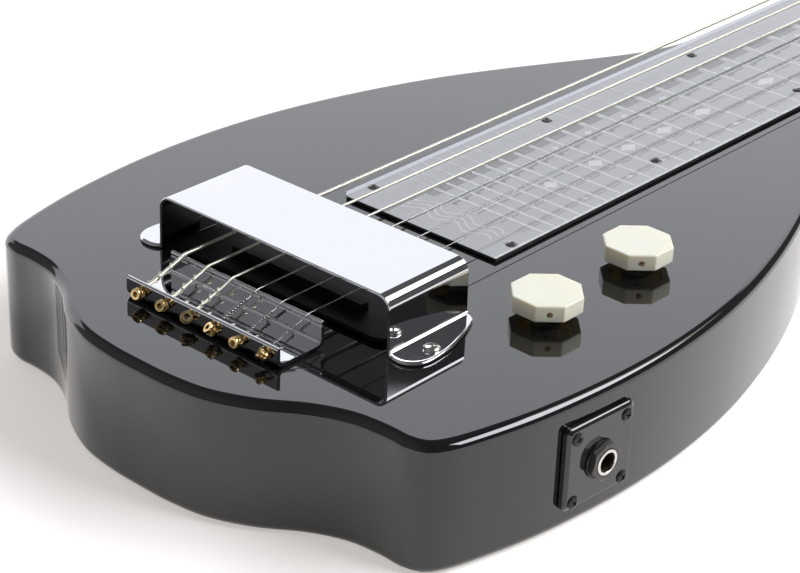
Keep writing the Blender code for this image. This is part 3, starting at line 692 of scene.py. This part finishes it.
def build_strings():
    """Each wire with its lock twist, ball end and the turns round its post."""
    for index, y in enumerate(STRING_Y):
        r = STRING_R[index]
        route, side, order = string_route(index)
        mat = "wound" if index < 3 else "plain_wire"
        piece(f"wire_{index + 1}", tube(route, r, 14), mat, replaces=(f"string_{index + 1}",),
              sharp=60)
        lock_twist(index, y, r, mat)
        ball_end(index, y)
        helix = []
        for i in range(3 * 20 + 1):
            ang = -side * math.pi / 2 - side * 2 * math.pi * i / 20
            helix.append((POST_X[order] + (POST_R + r) * math.cos(ang),
                          side * POST_Y + (POST_R + r) * math.sin(ang),
                          HEAD_Z1 + WRAP_RISE - (2 * r + 0.05) * i / 20))
        piece(f"post_wrap_{index + 1}", tube(helix, r, 8), mat, f"post_{index + 1}",
              sharp=60)


def lock_twist(index, y, r, mat):
    """The wire's end, wound back round the wire between the bridge's rear wall and the saddle."""
    a, b = Vector((-20.8, y, THICK + STRING_HOLE)), Vector((-4.6, y, THICK + SADDLE_TOP - 1.15))
    turns, reach = LOCK_TURNS[index], LOCK_REACH[index]
    across = Vector((0, 1, 0))
    up = across.cross((b - a).normalized())
    core = min(r, 0.30)
    coil = []
    for i in range(turns * 12 + 1):
        t, ang = i / (turns * 12), 2 * math.pi * i / 12
        out = r + core * 0.9
        coil.append(a + (b - a) * t * reach + out * (across * math.cos(ang) + up * math.sin(ang)))
    piece(f"lock_twist_{index + 1}", tube(coil, core, 8), mat, sharp=60)


def ball_end(index, y):
    """A brass barrel with a groove and a through hole; the string loops in its groove."""
    profile = ((1.25, -1.75), (1.9, -1.7), (2.0, -1.45), (2.0, -0.85), (1.5, -0.5), (1.5, 0.5),
               (2.0, 0.85), (2.0, 1.45), (1.9, 1.7), (1.25, 1.75))
    ball = raw_object(f"ball_end_{index + 1}", turned(profile, 28))
    combine(ball, prism(circle(0, 0, 0.95, 20), -3, 3))
    at = place(-22.6, y - 0.9, THICK + STRING_HOLE)
    at = at @ Matrix.Rotation(math.radians(BALL_TURN[index]), 4, "X")
    at = at @ Matrix.Rotation(math.radians(-BALL_TILT[index]), 4, "Y")
    ball.data.transform(at)
    finished(ball, "brass", sharp=40)
    r = min(0.36, STRING_R[index])
    ring = [(1.5 + r) * Vector((math.cos(a), math.sin(a), 0))
            for a in (2 * math.pi * k / 28 for k in range(29))]
    loop = raw_object(f"ball_loop_{index + 1}", tube(ring, r, 8), at)
    finished(loop, "brass", sharp=60)


# pickup and cover

def cover_section():
    """The bent sheet's outline across the strings: two leaning walls and a flat top."""
    z0, top, t, r = THICK + GAP, THICK + COVER_TOP, COVER_SHEET, COVER_BEND
    spread = (top - r - z0) * math.tan(math.radians(COVER_LEAN))
    centre = (COVER_HALF - r, top - r)
    outer = [(COVER_HALF + spread, z0)] + bend(*centre, r, COVER_LEAN, 90, 14)
    inner = [(COVER_HALF + spread - t, z0)] + bend(*centre, r - t, COVER_LEAN, 90, 14)
    outer += [(-y, z) for y, z in outer[::-1]]
    inner += [(-y, z) for y, z in inner[::-1]]
    return outer + inner[::-1]


def build_cover():
    """The bent chrome sheet, two lopsided feet with rounded rims and a fillet at each seam."""
    rings = [[(x, y, z) for y, z in cover_section()] for x in (COVER_X0, COVER_X1)]
    cover = raw_object("cover_sheet", loft(rings))
    bevelled(cover, 0.32, 3, 50)
    cx, cy = FOOT_CENTRE
    for side in (-1, 1):
        rows = []
        for d, z in FOOT_RIM:
            shrink_x, shrink_y = 1 - d / FOOT_SIZE[0], 1 - d / FOOT_SIZE[1]
            rows.append([(cx + (x - cx) * shrink_x, side * (cy + (y - cy) * shrink_y), THICK + z)
                         for x, y in spline(FOOT_HALF, 1.0)])
        combine(cover, loft(rows), "UNION")
        hole = circle(FOOT_SCREW[0], side * FOOT_SCREW[1], 1.7, 20)
        combine(cover, prism(hole, THICK - 1, THICK + 3))
    finished(cover, "chrome", replaces=("pickup_cover",), sharp=38)
    foot = COVER_HALF + 0.26
    for side, name in ((1, "bass"), (-1, "treble")):
        curve = [(foot + 1.1 - 1.1 * math.cos(a), THICK + 2.55 - 1.1 * math.sin(a))
                 for a in (math.pi / 2 * i / 6 for i in range(7))]
        curve += [(foot - 0.3, THICK + 1.4)]
        fillet = loft([[(x, side * y, z) for y, z in curve]
                       for x in (COVER_X0 + 0.5, COVER_X1 - 0.5)])
        piece(f"cover_fillet_{name}", fillet, "chrome", sharp=38)
        at = place(FOOT_SCREW[0], side * FOOT_SCREW[1], THICK + 1.52)
        phillips(f"cover_screw_head_{name}", at, 2.9, 1.5, "nickel", turn=35 * side,
                 replaces=(f"cover_screw_{name}",), shank=9)


def dress_inner_pieces():
    """Pickup, nut and potentiometers keep their CAD shape and only take materials."""
    for node, mat in (("pickup_base", "nickel"), ("pickup_magnet_rear", "steel"),
                      ("pickup_magnet_front", "steel"), ("pickup_blade", "pickup_black"),
                      ("pickup_bobbin", "pickup_black"), ("pickup_coil", "pickup_black"),
                      ("nut", "nickel"), ("volume_pot", "steel"), ("tone_pot", "steel"),
                      ("volume_pot_nut", "nickel"), ("tone_pot_nut", "nickel"),
                      ("volume_pot_shaft", "steel"), ("tone_pot_shaft", "steel")):
        dress(node, mat)


def dress(node, mat):
    """A CAD node that keeps its shape takes a procedural material."""
    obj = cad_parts[node]
    obj.data.materials.clear()
    obj.data.materials.append(MATS[mat])


# controls

def build_knobs():
    """Octagonal knobs, hollow below, each with a grub screw in its side."""
    for name, x, y in KNOBS:
        turn = math.radians(KNOB_TURN)
        low, high = THICK + KNOB_Z0, THICK + KNOB_Z1
        knob = raw_object(f"{name}_octagon", turned(((KNOB_R, low), (KNOB_R, high)), 8, 0, 0, turn))
        bevelled(knob, 0.55, 4, 30)
        hollow = turned(((10.2, low - 1), (10.2, low + 3.4)), 8, 0, 0, turn)
        ring = raw_object("tool", hollow)
        combine(ring, turned(((5.0, low - 2), (5.0, low + 5)), 32))
        combine(knob, ring)
        combine(knob, turned(((3.3, low - 1), (3.3, low + 4.6)), 32))
        facing = Matrix.Rotation(math.radians(KNOB_TURN + 22.5 - 180), 4, "Z")
        across = place(0, 0, low + 2.7) @ facing @ Matrix.Rotation(math.radians(90), 4, "Y")
        combine(knob, prism(circle(0, 0, 1.15, 20), 2.0, 14), at=across)
        knob.data.transform(place(x, y))
        finished(knob, "ivory", name, (f"{name}_knob",), sharp=25)
        shank = turned(((1.0, 5.4), (1.0, 9.9), (0.85, 10.1)), 20)
        screw = raw_object(f"{name}_grub_screw", shank, across)
        combine(screw, box(-1.5, 1.5, -0.16, 0.16, 9.5, 11), at=across)
        screw.data.transform(place(x, y))
        finished(screw, "brass", name)


def build_jack():
    """The square plate with its screws, and the socket's sleeve, washer, nut and dark bore."""
    at = jack_frame()
    front = JACK_FACE
    rings = []
    for d, z in ((0.0, -0.2), (0.0, front - 1.1), (0.15, front - 0.85), (0.95, front - 0.12),
                 (1.25, front)):
        rings.append([(x, y, z) for x, y in rounded_box(*grown(JACK_PLATE, -d), 2.2, 8)])
    plate = raw_object("jack_plate_face", loft(rings), at)
    combine(plate, prism(circle(0, 0, 5.0, 32), -2, 5), at=at)
    finished(plate, "jack_face", replaces=("jack_plate",), sharp=24)
    for i, (sx, sy) in enumerate(((-1, 1), (1, 1), (1, -1), (-1, -1))):
        here = at @ Matrix.Translation(Vector((sx * JACK_REACH, sy * JACK_REACH, front + 0.02)) * MM)
        phillips(f"jack_screw_head_{i + 1}", here, 2.35, 0.95, "black_metal",
                 turn=(15, 70, 33, 52)[i], replaces=(f"jack_screw_{i + 1}",), shank=7)
    sleeve = [(7.2, -28.0), (7.2, -1.9), (4.7, -1.9), (4.7, front + 2.9), (4.6, front + 3.3),
              (4.3, front + 3.5)]
    socket = raw_object("jack_sleeve", turned(sleeve, 40), at)
    mouth = ((JACK_BORE, -22), (JACK_BORE, front + 3.1), (JACK_BORE + 0.4, front + 3.6))
    combine(socket, turned(mouth, 32), at=at)
    finished(socket, "nickel", replaces=("jack_socket",), sharp=40)
    disc = ((6.9, front + 0.05), (7.1, front + 0.25), (7.1, front + 0.7), (6.8, front + 0.9))
    washer = raw_object("jack_washer_ring", turned(disc, 48), at)
    combine(washer, prism(circle(0, 0, 4.95, 32), -2, 9), at=at)
    finished(washer, "black_metal", replaces=("jack_washer",))
    low = front + 1.0
    nut = raw_object("jack_hex_nut", turned(((7.1, low), (7.1, low + 2.1)), 6, 0, 0, 0.3), at)
    chamfer = ((6.5, low - 0.1), (7.15, low + 0.4), (7.15, low + 1.5), (6.0, low + 2.15))
    combine(nut, turned(chamfer, 48), "INTERSECT", at)
    combine(nut, prism(circle(0, 0, 4.85, 32), -2, 12), at=at)
    bevelled(nut, 0.12, 1, 40)
    finished(nut, "nut_grey", replaces=("jack_nut",))
    skin = ((JACK_BORE + 0.01, -21.9), (JACK_BORE + 0.01, front + 2.7))
    lining = raw_object("jack_bore", turned(skin, 32), at)
    combine(lining, turned(((3.22, -21.0), (3.22, front + 3.2)), 32), at=at)
    finished(lining, "bore", sharp=40)


# underside

def build_underside():
    """The control cavity's lid and the three threaded leg sockets, all with their screws."""
    lid = rounded_box(*grown(CAVITY, CAVITY_RIM - GAP), 11.7, 10)
    piece("cavity_lid", prism(lid, 0, CAVITY_LID - GAP), "black_plastic", bevel=0.3,
          replaces=("cavity_cover",))
    for i, (x, y) in enumerate(LID_SCREWS):
        phillips(f"lid_screw_{i + 1}", place(x, y, 1.0) @ Matrix.Rotation(math.pi, 4, "X"), 2.4, 0.75,
                 "nickel", turn=i * 29)
    for name, x, y in LEGS:
        profile = ((19.0, 0.1), (19.2, 0.0), (20.0, 0.8), (20.0, 2.7), (7.4, 2.7), (7.4, 15.4))
        socket = raw_object(f"leg_boss_{name}", turned(profile, 64, x, y))
        bore = ((LEG_BORE + 0.8, -0.5), (LEG_BORE + 0.4, 0.4), (LEG_BORE, 0.8), (LEG_BORE, 13.0))
        combine(socket, turned(bore, 32, x, y))
        finished(socket, "nickel", replaces=(f"leg_socket_{name}",), sharp=25)
        groove = [(x + 4.45 * math.cos(a), y + 4.45 * math.sin(a), 1.0 + a * 0.19)
                  for a in (2 * math.pi * k / 24 for k in range(24 * 9))]
        piece(f"leg_thread_{name}", tube(groove, 0.28, 6), "nickel", sharp=60)
        for k in range(3):
            a = 2 * math.pi * k / 3
            at = place(x + LEG_SCREW_RING * math.cos(a), y + LEG_SCREW_RING * math.sin(a), 1.05)
            phillips(f"leg_screw_{name}_{k + 1}", at @ Matrix.Rotation(math.pi, 4, "X"), 2.9, 1.0,
                     "nickel", turn=k * 47)


# tuners

def gear_outline(teeth, root, tip):
    """The outline of a gear wheel, from its root radius and its tip radius."""
    points = []
    for k in range(teeth):
        for f, r in ((0.0, root), (0.22, root), (0.36, tip), (0.64, tip), (0.78, root)):
            a = 2 * math.pi * (k + f) / teeth
            points.append((r * math.cos(a), r * math.sin(a)))
    return points


def build_tuners():
    """Two strips below the headstock, each with lugs and screws and with three tuners."""
    top = HEAD_Z0 - GAP
    for side, name in ((1, "bass"), (-1, "treble")):
        y0, y1 = sorted((side * (POST_Y - 11), side * (POST_Y + 11)))
        strip = rounded_box(POST_X[0] - 12, POST_X[2] + 18, y0, y1, 4, 8)
        plate = raw_object(f"tuner_strip_{name}", prism(strip, top - 1.2, top))
        for x in POST_X:
            combine(plate, prism(circle(x, side * POST_Y, POST_HOLE, 24), top - 3, top + 1))
            for ly in (POST_Y - 9.6, POST_Y + 7.4):
                a, b = sorted((side * ly, side * (ly + 2.2)))
                lug = box(x + WORM_OUT - 3.4, x + WORM_OUT + 3.4, a, b, WORM_Z - 3.4, top - 0.6)
                combine(plate, lug, "UNION")
                at = place(x + WORM_OUT, a, WORM_Z) @ Matrix.Rotation(-math.pi / 2, 4, "X")
                combine(plate, prism(circle(0, 0, 2.2, 20), -0.5, 3), at=at)
        bevelled(plate, 0.2, 2, 50)
        finished(plate, "nickel", replaces=(f"tuner_plate_{name}",))
        for k, x in enumerate((POST_X[0] - 8, POST_X[1] - 9.0, POST_X[2] - 9.0, POST_X[2] + 14.5)):
            for m, dy in enumerate((-8.2, 8.2) if k in (0, 3) else (8.2,)):
                at = place(x, side * (POST_Y + dy), top - 1.2) @ Matrix.Rotation(math.pi, 4, "X")
                phillips(f"tuner_screw_{name}_{k + 1}{m + 1}", at, 2.0, 0.7, "nickel",
                         turn=k * 31 + m * 50)
    for i, x in enumerate(POST_X):
        tuner(str(i + 1), x, 1)
        tuner(str(6 - i), x, -1)


def tuner(label, x, side):
    """One tuner: the geared post with its ferrule, the worm on its shaft and the button."""
    y = side * POST_Y
    wheel = prism(gear_outline(GEAR_TEETH, GEAR_ROOT, GEAR_TIP), WORM_Z - 2, WORM_Z + 2)
    gear = raw_object(f"post_gear_{label}", wheel)
    shaft = turned(((POST_R, WORM_Z + 1), (POST_R, HEAD_Z1 + 4.4), (POST_R - 0.45, HEAD_Z1 + 5.4),
                    (POST_R - 0.45, HEAD_Z1 + 6.8), (POST_R, HEAD_Z1 + 7.8), (POST_R, HEAD_Z1 + 10.5),
                    (POST_R - 0.25, HEAD_Z1 + 10.85), (POST_R - 0.7, HEAD_Z1 + 11.0)), 32)
    combine(gear, shaft, "UNION")
    combine(gear, turned(((1.1, WORM_Z - 3), (1.1, WORM_Z - 0.8)), 16))
    combine(gear, box(-2.1, 2.1, -0.3, 0.3, WORM_Z - 3, WORM_Z - 1.5))
    gear.data.transform(place(x, y))
    finished(gear, "nickel", f"post_{label}", (f"tuner_post_{label}",), sharp=28)
    dome = ((5.4, HEAD_Z1 + 0.02), (5.4, HEAD_Z1 + 0.7), (4.9, HEAD_Z1 + 1.2),
            (3.9, HEAD_Z1 + 1.5))
    ring = raw_object(f"ferrule_{label}", turned(dome, 40))
    combine(ring, prism(circle(0, 0, 3.4, 32), HEAD_Z1 - 1, HEAD_Z1 + 3))
    ring.data.transform(place(x, y))
    finished(ring, "nickel", sharp=25)
    start = POST_Y - 10.2
    turn = Matrix.Rotation(math.radians(-90 * side), 4, "X")
    at = place(x + WORM_OUT, side * start, WORM_Z) @ turn
    core = turned(((1.6, 0), (1.9, 0.3), (1.9, 4.8), (2.3, 5.2), (2.3, 15.2), (1.9, 15.6),
                   (1.9, BUTTON_Y + 9 - start)), 24)
    thread = [(2.45 * math.cos(a), 2.45 * math.sin(a), 5.9 + 8.4 * a / (2 * math.pi * 5))
              for a in (2 * math.pi * k / 20 for k in range(101))]
    worm = joined(core, tube(thread, 0.62, 8))
    piece(f"worm_shaft_{label}", worm, "nickel", f"key_{label}", at, replaces=(f"tuner_worm_{label}",),
          sharp=50)
    rings = []
    for along, wide, thick in BUTTON_RINGS:
        rings.append([(wide * math.cos(a), thick * math.sin(a), along)
                      for a in (2 * math.pi * k / 36 for k in range(36))])
    at = place(x + WORM_OUT, side * BUTTON_Y, WORM_Z) @ turn
    button = raw_object(f"button_{label}", loft(rings), at)
    combine(button, turned(((2.1, -1), (2.1, 9.4)), 20), at=at)
    finished(button, "ivory", f"key_{label}", (f"tuner_button_{label}",), sharp=40)


# surroundings

def build_stage():
    """A flat pale floor that glows a little, so that the object's shadow stays soft and pale."""
    bm = bmesh.new()
    bmesh.ops.create_grid(bm, x_segments=2, y_segments=2, size=4.0)
    mesh = bpy.data.meshes.new("floor")
    bm.to_mesh(mesh)
    bm.free()
    floor = bpy.data.objects.new("floor", mesh)
    bpy.context.scene.collection.objects.link(floor)
    floor.location = (0.3, 0.2, -0.0005)
    mat, _, shader = nodes_of("pale_floor")
    set_inputs(shader, {"Base Color": (0.87, 0.85, 0.83), "Roughness": 0.9,
                        "Specular IOR Level": 0.1, "Emission Color": (1.0, 0.95, 0.905),
                        "Emission Strength": 0.46})
    mesh.materials.append(mat)


def build_light():
    """A white cove behind the object, a softbox high on its right with a warm flap, a dim room.

    Each light is a patch of the sky, bounded by how far a direction lies along a few others.
    """
    world = bpy.data.worlds.new("studio")
    bpy.context.scene.world = world
    world.use_nodes = True
    tree = world.node_tree
    new, link = tree.nodes.new, tree.links.new
    shade = tree.nodes["Background"]
    coords = new("ShaderNodeTexCoord").outputs["Generated"]

    def along(azimuth, elevation):
        """How far the seen direction lies along one given in degrees, from -1 to 1."""
        node = new("ShaderNodeVectorMath")
        node.operation = "DOT_PRODUCT"
        a, e = math.radians(azimuth), math.radians(elevation)
        node.inputs[1].default_value = (math.cos(a) * math.cos(e), math.sin(a) * math.cos(e),
                                        math.sin(e))
        link(coords, node.inputs[0])
        return node.outputs["Value"]

    def smooth(source, low, high, start, end):
        """A soft step from start to end while the source goes from low to high."""
        node = new("ShaderNodeMapRange")
        node.interpolation_type = "SMOOTHSTEP"
        for key, value in (("From Min", low), ("From Max", high), ("To Min", start), ("To Max", end)):
            node.inputs[key].default_value = value
        link(source, node.inputs["Value"])
        return node.outputs["Result"]

    def maths(operation, a, b):
        node = new("ShaderNodeMath")
        node.operation = operation
        for slot, value in ((0, a), (1, b)):
            if isinstance(value, float):
                node.inputs[slot].default_value = value
            else:
                link(value, node.inputs[slot])
        return node.outputs["Value"]

    def product(*factors):
        """The product of several node outputs and numbers."""
        whole = factors[0]
        for factor in factors[1:]:
            whole = maths("MULTIPLY", whole, factor)
        return whole

    height, edge = along(0, 90), along(-110, 0)
    ahead = smooth(along(41, 0), 0.50, 0.56, 0.0, COVE)
    cove = product(ahead, smooth(height, 0.53, 0.56, 1.0, 0.0),
                   smooth(along(96, 0), -0.06, 0.06, 0.0, 1.0))
    above, below = smooth(height, 0.525, 0.545, 0.0, 1.0), smooth(height, 0.81, 0.83, 1.0, 0.0)
    band, front = product(above, below), smooth(along(10, 0), 0.0, 0.03, 0.0, 1.0)
    softbox = product(front, smooth(edge, -0.02, 0.04, 0.0, 1.0), band)
    right = product(smooth(along(-98, 0), 0.0, 0.03, 0.0, 1.0), band)
    warm = product(right, smooth(edge, -0.02, 0.04, 1.0, 0.0), front)
    boxes = maths("ADD", product(softbox, SOFTBOX), product(warm, FLAP))
    room = smooth(along(139, 10), 0.2, 0.9, ROOM, ROOM_LEFT)
    link(maths("ADD", maths("ADD", cove, boxes), room), shade.inputs["Strength"])
    tint = new("ShaderNodeMix")
    tint.data_type = "RGBA"
    tint.inputs["A"].default_value = (0.965, 0.98, 1.035, 1.0)
    tint.inputs["B"].default_value = (1.0, 0.98, 0.80, 1.0)
    link(warm, tint.inputs["Factor"])
    link(tint.outputs["Result"], shade.inputs["Color"])
    bpy.context.scene.view_settings.view_transform = "Standard"
    bpy.context.scene.view_settings.look = "None"


make_camera()
MATS = make_materials()
build_body()
build_fretboard()
build_bridge()
build_strings()
build_cover()
dress_inner_pieces()
build_knobs()
build_jack()
build_underside()
build_tuners()
build_stage()
build_light()
